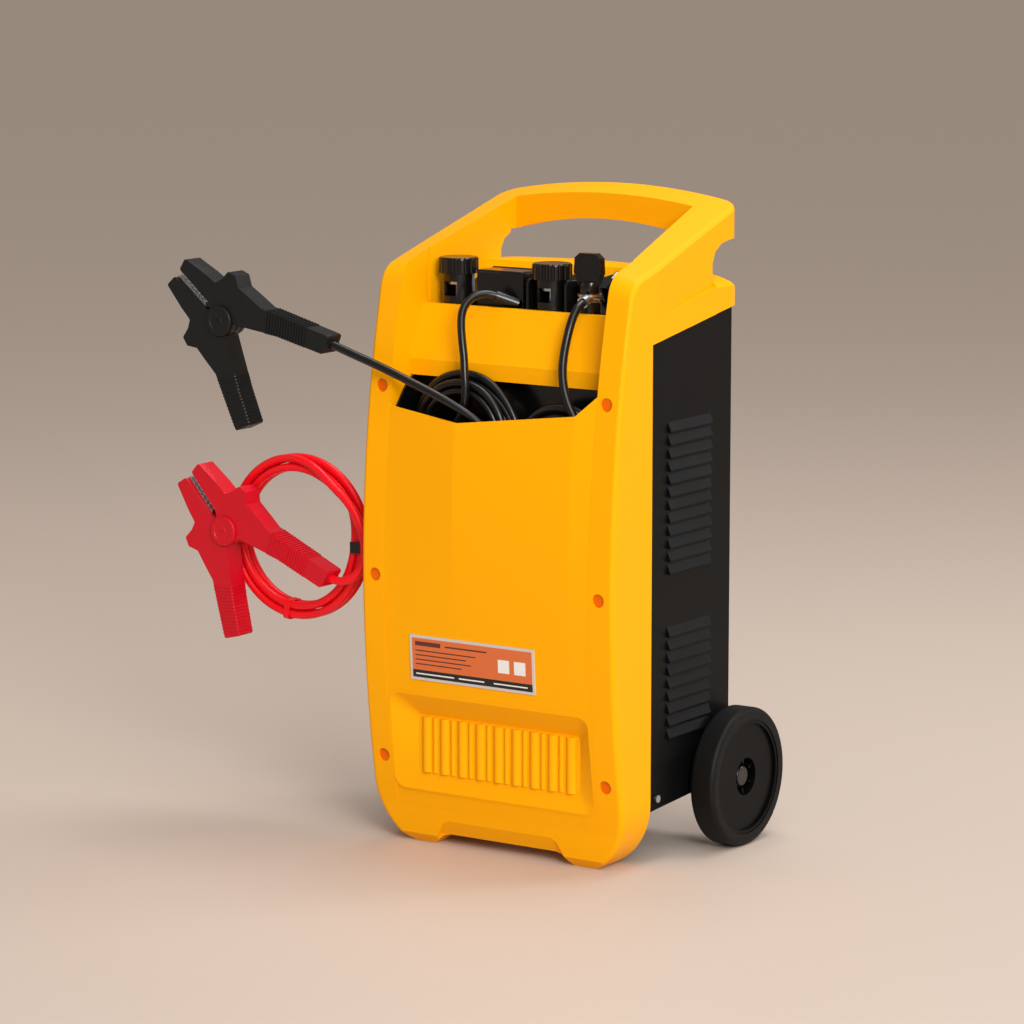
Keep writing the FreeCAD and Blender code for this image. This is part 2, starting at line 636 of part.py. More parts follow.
right_side = side_panel()
save("side_panel_right", right_side)
save("side_panel_left", mirrored(right_side).cut(rod(yz(17, 390, -170), V(1, 0, 0), 7.2, 30)))
save("rear_panel", rear_panel())
save("base_tray", tray())


# ---- wheels and axle ---------------------------------------------------------------
def revolve_x(profile):
    """Turn an (x, radius) outline about the axle's centre line."""
    points = [V(x, JOINT_Y + WHEEL_Y, WHEEL_R + r) for x, r in profile]
    return polygon(points).revolve(V(0, JOINT_Y + WHEEL_Y, WHEEL_R), V(1, 0, 0), 360)


def wheel():
    bore = AXLE_R + 0.05
    hub = revolve_x([(164.5, bore), (178, bore), (178, 20), (188, 20), (188, 57), (191, 57), (191, 60.8),
                     (164, 60.8), (164, 57), (184, 57), (184, 24), (174, 24), (174, 14), (164.5, 14)])
    spokes = []
    for i in range(6):
        spoke = Part.makeBox(18, 3, 44, V(166.5, JOINT_Y + WHEEL_Y - 1.5, WHEEL_R + 13.5))
        spoke.rotate(V(0, JOINT_Y + WHEEL_Y, WHEEL_R), V(1, 0, 0), 60 * i)
        spokes.append(spoke)
    return hub.fuse(spokes)


def tyre():
    profile = [(WHEEL_IN, 61), (WHEEL_OUT, 61), (WHEEL_OUT, WHEEL_R), (WHEEL_IN, WHEEL_R)]
    ring = revolve_x(profile)
    outer = edges_where(ring, lambda e: e.BoundBox.ZLength > 2 * WHEEL_R - 1 and e.BoundBox.XLength < 1)
    return ring.makeFillet(5, outer)


def axle_cap(side):
    cap = rod(V(178.4, JOINT_Y + WHEEL_Y, WHEEL_R), V(1, 0, 0), 11, 6)
    cap = cap.makeFillet(2, edges_where(cap, lambda e: e.BoundBox.XMin > 184))
    cap = cap.cut(rod(V(178, JOINT_Y + WHEEL_Y, WHEEL_R), V(1, 0, 0), AXLE_R + 0.05, 4.2))
    return cap if side > 0 else mirrored(cap)


def bracket(side):
    """Folded plate on the tray floor that carries the axle."""
    plate = prism_x([(122, 66.6), (153, 68.6), (153, 100), (122, 100)], 118.5, 121.5)
    foot = prism_x([(122, 66.6), (153, 68.6), (153, 70.6), (122, 68.6)], 104, 119)
    plate = plate.fuse(foot).cut(rod(V(100, JOINT_Y + WHEEL_Y, WHEEL_R), V(1, 0, 0), AXLE_R + 0.1, 40))
    return plate if side > 0 else mirrored(plate)


right_wheel = wheel()
right_tyre = tyre()
shaft = rod(V(-182, JOINT_Y + WHEEL_Y, WHEEL_R), V(1, 0, 0), AXLE_R, 364)
save("axle", group([shaft, axle_cap(1), axle_cap(-1)]))
save("right_wheel", right_wheel)
save("left_wheel", mirrored(right_wheel))
save("right_tyre", right_tyre)
save("left_tyre", mirrored(right_tyre))


# ---- fan, transformer and rectifier ---------------------------------------------------
def fan_frame():
    frame = box(-46, 46, 127, 152, FAN_Z - 46, FAN_Z + 46)
    frame = frame.cut(rod(yz(120, FAN_Z), V(0, 1, 0), 43.5, 40))
    parts_ = [frame, rod(yz(127, FAN_Z), V(0, 1, 0), 15, 3), rod(yz(127, FAN_Z), V(0, 1, 0), 1.5, 20)]
    for i in range(4):
        arm = Part.makeBox(6, 2.4, 36, V(-3, JOINT_Y + 127, FAN_Z + 9))
        arm.rotate(yz(127, FAN_Z), V(0, 1, 0), 45 + 90 * i)
        parts_.append(arm)
    frame = fuse(parts_)
    for x in (-41, 41):
        for z in (-41, 41):
            frame = frame.cut(rod(yz(120, FAN_Z + z, x), V(0, 1, 0), 2.1, 40))
    return frame


def fan_impeller():
    hub = rod(yz(131, FAN_Z), V(0, 1, 0), 16, 19)
    blades = []
    for i in range(7):
        blade = Part.makeBox(2, 15, 27.5, V(-1, JOINT_Y + 133, FAN_Z + 14.5))
        blade.rotate(yz(140.5, FAN_Z), V(0, 0, 1), 38)
        blade.rotate(yz(140.5, FAN_Z), V(0, 1, 0), i * 360.0 / 7)
        blades.append(blade)
    limit = rod(yz(131, FAN_Z), V(0, 1, 0), 42.3, 19)
    return hub.fuse(blades).common(limit).cut(rod(yz(125, FAN_Z), V(0, 1, 0), 1.55, 22.5))


def core():
    block = box(-70, 70, 40, 105, 68, 188)
    for s in (-1, 1):
        a, b = sorted((s * 24, s * 48))
        block = block.cut(box(a, b, 30, 120, 92, 164))
    return block


def windings():
    ring = box(-47.6, 47.6, 30, 115, 92.4, 163.6)
    ring = ring.makeFillet(6, edges_where(ring, lambda e: e.BoundBox.ZLength > 60))
    return ring.cut(box(-24.4, 24.4, 39.6, 105.4, 80, 180))


def rectifier():
    plates = [box(-62, 62, 44 + 16 * i, 47 + 16 * i, 226, 300) for i in range(4)]
    diodes = []
    for i in range(4):
        for x in (-34, 34):
            diodes.append(rod(yz(47.2 + 16 * i, 263, x), V(0, 1, 0), 9, 8))
    return plates, diodes


plates, diodes = rectifier()
save("fan_frame", fan_frame())
save("fan_impeller", fan_impeller())
save("transformer_core", core())
save("transformer_windings", windings())
save("rectifier_plates", group(plates))
save("rectifier_diodes", group(diodes))
rails = [box(x - 3, x + 3, 36, 106, 190, 225.8) for x in (-50, 50)]
feet = [prism_x([(36, 60.9), (109, 65.6), (109, 67.8), (36, 67.8)], x - 12, x + 12) for x in (-55, 55)]
save("chassis_brackets", group(rails + feet + [bracket(1), bracket(-1)]))


# ---- screws and small trim ------------------------------------------------------------
def screw(head, direction, head_r, shank_r, length):
    shape = rod(head, direction, head_r, 2.4)
    return shape.fuse(rod(head, direction, shank_r, length))


def label():
    """Curved rating plate on the front, laid against the panel."""
    rows = [182 + 6 * i for i in range(9)]
    outer = [yz(front_dy(z) - 1.2, z, -95) for z in rows]
    inner = [yz(front_dy(z) + 1.0, z, -95) for z in reversed(rows)]
    return polygon(outer + inner).extrude(V(156, 0, 0)).cut(front)


caps, long_screws = [], []
for x, z in screw_points():
    front_y = JOINT_Y + front_dy(z)
    caps.append(rod(V(x, front_y + 2.2, z), V(0, 1, 0), 6.7, 2.5))
    long_screws.append(screw(V(x, front_y + 7.2, z), V(0, 1, 0), 4.2, 2.0, JOINT_Y + 9 - front_y - 7.2))
case_screws = []
for s in (-1, 1):
    case_screws.append(screw(V(s * 158.6, JOINT_Y + 12, 70), V(-s, 0, 0), 4.0, 2.0, 10))
for x in (-144, 144):
    for z in (140, 330, 520):
        case_screws.append(screw(yz(156.1, z, x), V(0, -1, 0), 3.6, 1.7, 10))
for x in (-41, 41):
    for z in (-41, 41):
        case_screws.append(screw(yz(156.1, FAN_Z + z, x), V(0, -1, 0), 3.6, 1.9, 22))
save("screw_caps", group(caps))
save("label_plate", label())


# ---- cords --------------------------------------------------------------------------------
def cord(name, points, diameter):
    """A round cord along straight runs joined by tangent arcs."""
    p = [yz(dy, z, x) for x, dy, z in points]
    edges, last, smallest, total = [], p[0], 1e9, 0.0
    for a, b, c in zip(p, p[1:], p[2:]):
        d1, d2 = (b - a), (c - b)
        shorter = min(d1.Length, d2.Length)
        u1, u2 = d1.normalize(), d2.normalize()
        half = u1.getAngle(u2) / 2
        back = 0.45 * shorter
        radius = back / math.tan(half)
        smallest = min(smallest, radius)
        start, end = b - u1 * back, b + u2 * back
        inward = (u2 - u1).normalize()
        middle = b + inward * (radius / math.cos(half) - radius)
        edges.append(Part.makeLine(last, start))
        edges.append(Part.Arc(start, middle, end).toShape())
        last = end
    edges.append(Part.makeLine(last, p[-1]))
    wire = Part.Wire(edges)
    ring = Part.Wire(Part.makeCircle(diameter / 2, p[0], p[1] - p[0]))
    tube = wire.makePipeShell([ring], True, False)
    tube = tube if tube.ShapeType == "Solid" else Part.Solid(tube)
    print(name, "radius %.0f mm, length %.0f mm, valid %s, %.1f cm3" % (
        smallest, wire.Length, tube.isValid(), tube.Volume / 1000))
    return tube


def coil(centre, dy0, dy1, inner, outer):
    """A bundle of turns as one closed ring."""
    x, z = centre
    corners = [(inner, dy0), (outer, dy0), (outer, dy1), (inner, dy1)]
    points = [yz(dy, z, x + r) for r, dy in corners]
    ring = polygon(points).revolve(yz(0, z, x), V(0, 1, 0), 360)
    rims = edges_where(ring, lambda e: e.BoundBox.ZLength > inner and e.BoundBox.YLength < 0.5)
    return ring.makeFillet(3, rims)


MAINS_UP = [(-32, 7.3, 578.5), (-41.5, -0.8, 583.2), (-48.5, -9.1, 583.5), (-53.8, -18, 580),
            (-56.7, -26, 573.5), (-56.8, -32.5, 564.5), (-54, -37.5, 551.5), (-50, -41, 536), (-46, -43.5, 520),
            (-43, -47, 503), (-41, -48.2, 486), (-43, -48.5, 470), (-49, -48.7, 455.5), (-59, -49, 443),
            (-73, -49.5, 432), (-86, -48.5, 421), (-97, -48.3, 409), (-103.5, -47.6, 396)]
MAINS_DOWN = [(-60, -47.5, 384), (-42, -47.5, 381), (-24, -47.5, 377), (-8, -45, 369), (7, -41, 360),
              (22, -36, 354.5), (37.8, -34, 354)]
BLACK_UP = [(73, 3, 583.2), (73, -8.1, 579.2), (72.5, -17.5, 571), (72, -24.2, 559.5), (71.5, -29.5, 546.5),
            (72, -36, 531), (74, -42, 514), (79, -46.5, 497), (86, -48.5, 481), (95, -48.5, 466),
            (103, -48.5, 450), (109, -48.5, 433)]
BLACK_RUN = [(70, -48, 385), (52, -48, 386), (35, -48, 392), (20, -48, 402), (8, -48, 416), (-1, -49.5, 432),
             (-11, -51.5, 447), (-25, -56.5, 460.5), (-42, -61, 471), (-62, -65, 481), (-86, -69, 491),
             (-112, -73, 502), (-138, -77, 512), (-162, -81, 520.5), (-188, -84.6, 530)]
RED_CLAMP = [(-212, -60.4, 277), (-200, -60.2, 273.3), (-188, -59.6, 274.4), (-177, -58.3, 280),
             (-169, -57.7, 289), (-165, -57, 301), (-165, -56, 315), (-169.5, -54.5, 330.5),
             (-178.5, -52.8, 346), (-193, -51, 360), (-210, -49.8, 370.5)]
RED_GLAND = [(-185.5, -20, 316), (-187.2, -19, 331), (-191.5, -14, 345), (-196.5, -5, 357.5), (-198, 5, 369.5),
             (-193.5, 13, 380.5), (-184, 16.8, 388), (-174, 17, 390), (-162.5, 17, 390)]

save("mains_lead_up", cord("mains up", MAINS_UP, MAINS_D))
save("mains_lead_down", cord("mains down", MAINS_DOWN, MAINS_D))
save("mains_coil", coil((-54, 440), -42, -26, 40.5, 66.5))
save("black_lead_up", cord("black up", BLACK_UP, LEAD_D))
save("black_lead_run", cord("black run", BLACK_RUN, LEAD_D))
save("black_lead_coil", coil((68, 428), -43, -25, 34, 52))
save("red_lead_clamp_end", cord("red clamp", RED_CLAMP, LEAD_D))
save("red_lead_gland_end", cord("red gland", RED_GLAND, LEAD_D))
save("red_coil", coil((-266, 312), -45, -25, 71, 90))


def plug():
    """Two-pin mains plug lying in the pocket."""
    body = rod(yz(-34, 354, 38.6), V(1, 0, 0), 17, 34)
    body = body.makeFillet(4, body.Edges)
    for dy in (-9.5, 9.5):
        body = body.fuse(rod(yz(-34 + dy, 354, 72), V(1, 0, 0), 2.4, 19))
    return body


def gland():
    nut = rod(yz(17, 390, -166), V(1, 0, 0), 10, 9.6)
    shank = rod(yz(17, 390, -160), V(1, 0, 0), 6.9, 14)
    inner_nut = rod(yz(17, 390, -154.4), V(1, 0, 0), 10, 5)
    nose = Part.makeCone(6.5, 9, 8, yz(17, 390, -173), V(1, 0, 0))
    whole = fuse([nut, shank, inner_nut, nose])
    return whole.cut(rod(yz(17, 390, -180), V(1, 0, 0), LEAD_D / 2 + 0.2, 40))


def clip():
    """Cradle on the moulding's side that carries the red coil."""
    base = box(-160.2, -156.8, -50, -20, 294, 324)
    arm = box(-173.6, -160, -39, -31, 303, 315)
    cradle = box(-190.5, -172.6, -48.4, -21.6, 303, 315)
    cradle = cradle.cut(box(-200, -175.4, -45.4, -24.6, 300, 320))
    return fuse([base, arm, cradle])


save("mains_plug", plug())
save("red_gland", gland())
save("lead_clip", clip())


# ---- battery clamps ------------------------------------------------------------------------
HALF_T = CLAMP_T / 2


def slab(outline, w0, w1):
    """Extrude a (u, v) outline through the clamp's thickness; u runs along the jaws."""
    points = [V(u, w0, v) for u, v in outline]
    return polygon(points).extrude(V(0, w1 - w0, 0))


def disc(radius, w0, w1, u=0.0, v=0.0):
    return Part.makeCylinder(radius, w1 - w0, V(u, w0, v), V(0, 1, 0))


def arm_body(sign, handle_end):
    outline = [(18, 1.5), (24, 4.6), (74, 5.2), (76, 19), (46, 25), (30, 27), (26, 36), (25, 48), (15, 51),
               (4, 44), (-12, 46), (-32, 48)] + handle_end + [(-64, 39), (-27, 16), (-16, 9), (-12, 1.5)]
    body = slab([(u, sign * v) for u, v in outline], -HALF_T, HALF_T)
    tall = edges_where(body, lambda e: e.BoundBox.YLength > CLAMP_T - 1 and (e.BoundBox.XMin > 20
                                                                               or e.BoundBox.XMax < -60))
    return body.makeFillet(2.5, tall)


def jaw(sign):
    """Toothed metal strip inside a jaw."""
    teeth = [(24.5, 4.3)]
    for i in range(8):
        u = 25.5 + 6 * i
        teeth += [(u, 3.0), (u + 3, 0.7), (u + 5.8, 3.0)]
    teeth += [(73.5, 4.3)]
    return slab([(u, sign * v) for u, v in teeth], -8, 8)


def clamp(name, pivot, angle, lead_end):
    """Two arms crossing at a pivot; the lead runs into the fixed arm's handle."""
    place = FreeCAD.Placement(pivot, FreeCAD.Rotation(V(0, 1, 0), -angle))
    fixed = arm_body(-1, [(-114, 86), (-120, 66)])
    moving = arm_body(1, [(-90, 76), (-99, 58)])
    fixed = fixed.cut(disc(17.4, -5, 5)).fuse([disc(17, -HALF_T, -5), disc(17, 5, HALF_T)])
    fixed = fixed.cut(disc(4.2, -20, 20))
    start, heading = lead_end
    local = place.inverse()
    start = local.multVec(start)
    heading = local.Rotation.multVec(heading).normalize()
    fixed = fixed.cut(Part.makeCylinder(LEAD_D / 2 + 0.2, 30, start - heading * 20, heading))
    side_cuts = [disc(17.4, -HALF_T - 1, -4.6), disc(17.4, 4.6, HALF_T + 1)]
    moving = moving.cut(side_cuts[0]).cut(side_cuts[1]).fuse(disc(17, -4.6, 4.6))
    moving = moving.cut(disc(4.05, -20, 20))
    moving = moving.cut(disc(13.2, -6, 2.6).cut(disc(6.4, -6, 2.6)))
    ring = disc(12.6, -4.9, 2.1).cut(disc(7, -6, 4))
    rivet = fuse([disc(4, -14, 14), disc(15.5, 12.2, 14.2), disc(15.5, -14.2, -12.2)])
    shapes = {"fixed_arm": fixed, "moving_arm": moving, "moving_jaw": jaw(1),
              "metalwork": group([rivet, ring, jaw(-1)])}
    for piece, shape in shapes.items():
        shape.Placement = place
        save(name + "_" + piece, shape)


def end_of(points):
    """A lead's end point and the way it points there."""
    last, before = [yz(dy, z, x) for x, dy, z in points]
    return last, last - before


clamp("black_clamp", yz(-84, 546, -324), 140, end_of(BLACK_RUN[:-3:-1]))
clamp("red_clamp", yz(-60.4, 316, -340), 130, end_of(RED_CLAMP[:2]))
save("case_screws", group(case_screws + long_screws))
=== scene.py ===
"""Looks of a wheeled battery charger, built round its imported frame. Metres, +Z up, front faces -Y."""
import json
import math

import bpy
from mathutils import Matrix, Vector


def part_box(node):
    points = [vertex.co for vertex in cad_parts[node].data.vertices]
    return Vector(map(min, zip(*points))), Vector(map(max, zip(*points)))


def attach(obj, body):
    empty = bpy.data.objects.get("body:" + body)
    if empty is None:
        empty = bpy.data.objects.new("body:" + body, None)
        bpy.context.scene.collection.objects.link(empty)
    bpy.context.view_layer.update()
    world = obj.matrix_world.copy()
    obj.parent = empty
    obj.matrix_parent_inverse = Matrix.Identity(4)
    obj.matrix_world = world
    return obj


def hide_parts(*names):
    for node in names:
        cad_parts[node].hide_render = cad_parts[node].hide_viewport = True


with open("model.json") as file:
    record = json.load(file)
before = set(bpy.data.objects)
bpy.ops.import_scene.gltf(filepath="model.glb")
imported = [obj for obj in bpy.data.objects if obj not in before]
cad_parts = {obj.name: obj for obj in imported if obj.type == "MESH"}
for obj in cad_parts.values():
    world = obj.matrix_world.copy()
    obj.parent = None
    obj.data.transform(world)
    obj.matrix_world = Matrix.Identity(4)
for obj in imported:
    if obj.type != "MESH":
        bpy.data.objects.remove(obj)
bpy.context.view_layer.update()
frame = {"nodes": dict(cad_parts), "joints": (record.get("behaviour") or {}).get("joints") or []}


NODES = frame["nodes"]
SCENE = bpy.context.scene
MM = 0.001
JOINT_Y = -67.0         # plane between moulding and steel case, mm


def joint_at(name):
    """A point on a joint's axis at rest: x, y and z in metres."""
    return next(joint["pos_m"] for joint in frame["joints"] if joint["name"] == name)


# ---- finishes ---------------------------------------------------------------------
def linear(r, g, b):
    """sRGB 0-255 to linear, opaque."""
    channels = (((v / 255 + 0.055) / 1.055) ** 2.4 if v > 10 else v / 255 / 12.92 for v in (r, g, b))
    return (*channels, 1.0)


def finish(name, colour, rough, metal=0.0, coat=0.0, grain=0.0, grain_scale=900.0, wear=0.0, specular=0.5):
    """Principled surface. grain is a fine bump in metres; wear varies the roughness softly."""
    material = bpy.data.materials.new(name)
    material.use_nodes = True
    nodes, links = material.node_tree.nodes, material.node_tree.links
    shader = nodes["Principled BSDF"]
    shader.inputs["Base Color"].default_value = linear(*colour)
    shader.inputs["Roughness"].default_value = rough
    shader.inputs["Metallic"].default_value = metal
    shader.inputs["Coat Weight"].default_value = coat
    shader.inputs["Coat Roughness"].default_value = 0.12
    shader.inputs["Specular IOR Level"].default_value = specular
    place = nodes.new("ShaderNodeTexCoord")
    if grain:
        noise = nodes.new("ShaderNodeTexNoise")
        noise.inputs["Scale"].default_value = grain_scale
        noise.inputs["Detail"].default_value = 3.0
        bump = nodes.new("ShaderNodeBump")
        bump.inputs["Strength"].default_value = 0.6
        bump.inputs["Distance"].default_value = grain
        links.new(place.outputs["Object"], noise.inputs["Vector"])
        links.new(noise.outputs["Fac"], bump.inputs["Height"])
        links.new(bump.outputs["Normal"], shader.inputs["Normal"])
    if wear:
        cloud = nodes.new("ShaderNodeTexNoise")
        cloud.inputs["Scale"].default_value = 14.0
        cloud.inputs["Detail"].default_value = 4.0
        ramp = nodes.new("ShaderNodeMapRange")
        ramp.inputs["To Min"].default_value = max(0.03, rough - wear)
        ramp.inputs["To Max"].default_value = min(1.0, rough + wear)
        links.new(place.outputs["Object"], cloud.inputs["Vector"])
        links.new(cloud.outputs["Fac"], ramp.inputs["Value"])
        links.new(ramp.outputs["Result"], shader.inputs["Roughness"])
    return material


FINISH = {
    "orange": finish("orange_plastic", (255, 174, 0), 0.42, coat=0.03, grain=0.00002, grain_scale=1400,
                     wear=0.04, specular=0.1),
    "black_gloss": finish("black_plastic", (10, 10, 11), 0.24, coat=0.15, wear=0.04, specular=0.4),
    "case_paint": finish("case_paint", (7, 7, 8), 0.48, grain=0.0001, grain_scale=700, wear=0.05,
                         specular=0.13),
    "steel": finish("steel", (205, 207, 210), 0.3, metal=1.0, grain=0.00002, grain_scale=500, wear=0.06),
    "wheel_plastic": finish("wheel_plastic", (6, 6, 7), 0.42, grain=0.00003, wear=0.05, specular=0.1),
    "tyre": finish("tyre_rubber", (9, 9, 9), 0.58, grain=0.00006, wear=0.05, specular=0.22),
    "core_steel": finish("core_steel", (105, 105, 108), 0.45, metal=1.0, grain=0.00004, grain_scale=300),
    "copper": finish("copper_wire", (184, 108, 66), 0.35, metal=1.0),
    "aluminium": finish("aluminium", (200, 202, 205), 0.32, metal=1.0, wear=0.05),
    "diode": finish("diode_can", (160, 162, 166), 0.3, metal=1.0),
    "needle_red": finish("needle_red", (200, 24, 18), 0.5),
    "label": finish("label_foil", (206, 200, 196), 0.4, specular=0.4),
    "charcoal": finish("charcoal_plastic", (20, 22, 22), 0.45, grain=0.00003, wear=0.05, specular=0.28),
    "crimson": finish("crimson_plastic", (206, 4, 32), 0.4, coat=0.1, grain=0.00002, wear=0.04,
                      specular=0.3),
    "black_cord": finish("black_cord", (12, 12, 13), 0.3, coat=0.1, wear=0.04, specular=0.4),
    "red_cord": finish("red_cord", (240, 8, 26), 0.36, coat=0.1, wear=0.04, specular=0.3),
}
CLEAR = finish("clear_lens", (245, 247, 248), 0.05)
CLEAR.node_tree.nodes["Principled BSDF"].inputs["Transmission Weight"].default_value = 1.0
CLEAR.node_tree.nodes["Principled BSDF"].inputs["IOR"].default_value = 1.45
FINISH["clear"] = CLEAR
PRINT_WHITE = finish("print_white", (236, 236, 232), 0.55)
PRINT_BLACK = finish("print_black", (22, 20, 20), 0.4)
CARD = finish("meter_card", (240, 238, 228), 0.7)
LABEL_FIELD = finish("label_field", (218, 112, 62), 0.4, specular=0.25)
LABEL_PRINT = finish("label_print", (92, 44, 34), 0.5)
# Darker orange than the moulding: painted shade, standing for the shade deep in the screw wells.
PAINTED_SHADE_CAP = finish("well_cap_painted_shade", (230, 104, 0), 0.5, specular=0.12)

for node in NODES.values():
    for slot in node.material_slots:
        key = slot.material.name.split(".")[0] if slot.material else ""
        if key in FINISH:
            slot.material = FINISH[key]
# The screw caps take the darker orange, painted shade of the deep wells they sit in.
for slot in NODES["screw_caps"].material_slots:
    slot.material = PAINTED_SHADE_CAP


def repaint_where(node, material, chosen):
    """Gives the faces of a node whose centre is chosen another finish."""
    mesh = node.data
    mesh.materials.append(material)
    index = len(mesh.materials) - 1
    for face in mesh.polygons:
        if chosen(face.center):
            face.material_index = index


CLAMPS = (("black", "charcoal"), ("red", "crimson"))      # each clamp's colour and its slot
AXLE_CAP_X = 0.1755     # the caps are outside this distance from the middle, m
MOULDED_EDGE, SMALL_EDGE, FOLDED_EDGE = 0.0014, 0.0008, 0.0003      # widths of softened edges, m
repaint_where(NODES["axle"], FINISH["black_gloss"], lambda c: abs(c.x) > AXLE_CAP_X)


def soften(names, width, angle=38):
    """Rounds the sharp edges of CAD nodes a little, as moulding and pressing do."""
    for name in names:
        node = NODES[name]
        weld = node.modifiers.new("weld", "WELD")
        weld.merge_threshold = 0.00001
        bevel = node.modifiers.new("edge", "BEVEL")
        bevel.width = width
        bevel.segments = 2
        bevel.limit_method = "ANGLE"
        bevel.angle_limit = math.radians(angle)
        bevel.harden_normals = True


soften([f"{colour}_clamp_{arm}_arm" for colour, _ in CLAMPS for arm in ("fixed", "moving")], MOULDED_EDGE)
soften(["cord_entry_box", "wing_knob", "lead_clip", "handle_rear_shell"], SMALL_EDGE)
soften(["base_tray", "rear_panel", "side_panel_left", "side_panel_right"], FOLDED_EDGE)


# ---- small helpers ----------------------------------------------------------------
def mesh_piece(name, verts, faces, material, body):
    """A mesh of our own that rides on a body and takes the given material."""
    mesh = bpy.data.meshes.new(name)
    mesh.from_pydata([tuple(v) for v in verts], [], faces)
    mesh.validate()
    mesh.update()
    piece = bpy.data.objects.new(name, mesh)
    SCENE.collection.objects.link(piece)
    mesh.materials.append(material)
    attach(piece, body)
    return piece


class Solids:
    """Several thin closed solids gathered into one mesh."""

    def __init__(self):
        self.verts, self.faces = [], []

    def slab(self, outline, low, high, place):
        """outline: points (a, b), anticlockwise; low, high: heights; place: (a, b, h) to a vector."""
        start, n = len(self.verts), len(outline)
        self.verts += [place(a, b, low) for a, b in outline] + [place(a, b, high) for a, b in outline]
        self.faces.append(tuple(start + i for i in reversed(range(n))))
        self.faces.append(tuple(start + n + i for i in range(n)))
        for i in range(n):
            j = (i + 1) % n
            self.faces.append((start + i, start + j, start + n + j, start + n + i))

    def ring(self, centre, inner, outer, low, high, place, count=32):
        """A flat ring round centre (a, b), between two radii and two heights."""
        start = len(self.verts)
        for radius, height in ((inner, low), (outer, low), (outer, high), (inner, high)):
            for i in range(count):
                t = 2 * math.pi * i / count
                a, b = centre[0] + radius * math.cos(t), centre[1] + radius * math.sin(t)
                self.verts.append(place(a, b, height))
        for k in range(4):
            this, after = start + k * count, start + (k + 1) % 4 * count
            for i in range(count):
                j = (i + 1) % count
                self.faces.append((this + i, this + j, after + j, after + i))

    def piece(self, name, material, body, slot):
        return mesh_piece(name, self.verts, self.faces, material, body)


def rectangle(a0, b0, a1, b1):
    return [(a0, b0), (a1, b0), (a1, b1), (a0, b1)]


def turned(outline, angle, centre):
    """An outline turned anticlockwise about its own origin and set at centre."""
    c, s = math.cos(angle), math.sin(angle)
    return [(centre[0] + a * c - b * s, centre[1] + a * s + b * c) for a, b in outline]


TILT = math.radians(30.8)
DECK_FRONT, DECK_LOW = 46, 566      # the sloping panel's lower edge: behind the joint plane, height, mm


def deck(x, v, n):
    """Sloping panel: x across, v up the slope, n out of it, all mm, to metres."""
    y = JOINT_Y + DECK_FRONT + v * math.cos(TILT) - n * math.sin(TILT)
    z = DECK_LOW + v * math.sin(TILT) + n * math.cos(TILT)
    return Vector((x * MM, y * MM, z * MM))


METER_X = joint_at("meter_needle_swing")[0] / MM
TIMER_X = joint_at("timer_turn")[0] / MM
SLOPE_MID = 30.0                    # middle of the sloping panel, up the slope, mm
SCALE_STEPS, LONG_EVERY = 10, 5     # ticks of a scale: equal steps, and every fifth tick is long

# ---- ammeter dial -----------------------------------------------------------------
NEEDLE_PIVOT = (METER_X, 14)        # on the panel, mm
NEEDLE_SWING = 40                   # to each side of straight up, degrees
CARD_LOW, CARD_TOP, PRINT_TOP = 3.05, 3.3, 3.42
CARD_HALF_WIDTH, CARD_BOTTOM, CARD_HEAD = 23.6, 8.4, 47.6
TICK_IN, LONG_TICK_IN, TICK_OUT, TICK_HALF = 22.5, 21.0, 26.0, 0.3
ARC_IN, ARC_OUT, ARC_PARTS = 26.0, 26.6, 40


def on_dial(radius, angle):
    """Point of the ammeter's scale, at a radius and an angle from straight up."""
    return NEEDLE_PIVOT[0] - radius * math.sin(angle), NEEDLE_PIVOT[1] + radius * math.cos(angle)


card = Solids()
card.slab(rectangle(METER_X - CARD_HALF_WIDTH, CARD_BOTTOM, METER_X + CARD_HALF_WIDTH, CARD_HEAD),
          CARD_LOW, CARD_TOP, deck)
card.piece("ammeter_card", CARD, "machine", "label")
scale = Solids()
for i in range(SCALE_STEPS + 1):
    swing = math.radians(NEEDLE_SWING - 2 * NEEDLE_SWING / SCALE_STEPS * i)
    tick = rectangle(-TICK_HALF, TICK_IN if i % LONG_EVERY else LONG_TICK_IN, TICK_HALF, TICK_OUT)
    scale.slab(turned(tick, swing, NEEDLE_PIVOT), CARD_TOP, PRINT_TOP, deck)
arc_angles = [math.radians(NEEDLE_SWING - 2 * NEEDLE_SWING / ARC_PARTS * i) for i in range(ARC_PARTS + 1)]
for a, b in zip(arc_angles, arc_angles[1:]):
    scale.slab([on_dial(ARC_OUT, a), on_dial(ARC_IN, a), on_dial(ARC_IN, b), on_dial(ARC_OUT, b)],
               CARD_TOP, PRINT_TOP, deck)
scale.piece("ammeter_scale", PRINT_BLACK, "machine", "black_gloss")


FIGURE_RADIUS, FIGURE_SWING, FIGURE_SIZE, FIGURE_HEIGHT, FIGURE_RAISE = 29.8, 38, 4.6, 3.36, 0.04


def figure(name, text, at, turn):
    """A raised figure of the ammeter's scale; at: (x, v, n) on the sloping panel."""
    curve = bpy.data.curves.new(name, "FONT")
    curve.body = text
    curve.size = FIGURE_SIZE * MM
    curve.align_x = "CENTER"
    curve.align_y = "CENTER"
    curve.extrude = FIGURE_RAISE * MM
    curve.resolution_u = 3
    made = bpy.data.objects.new(name + "_text", curve)
    SCENE.collection.objects.link(made)
    bpy.context.view_layer.update()
    mesh = bpy.data.meshes.new_from_object(made.evaluated_get(bpy.context.evaluated_depsgraph_get()))
    bpy.data.objects.remove(made)
    origin = deck(*at)
    across = Vector((1, 0, 0))
    out = deck(0, 0, 1) - deck(0, 0, 0)
    out.normalize()
    up = out.cross(across)
    matrix = Matrix((across, up, out)).transposed().to_4x4() @ Matrix.Rotation(turn, 4, "Z")
    mesh.transform(Matrix.Translation(origin) @ matrix)
    piece = bpy.data.objects.new(name, mesh)
    SCENE.collection.objects.link(piece)
    mesh.materials.clear()
    mesh.materials.append(PRINT_BLACK)
    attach(piece, "machine")


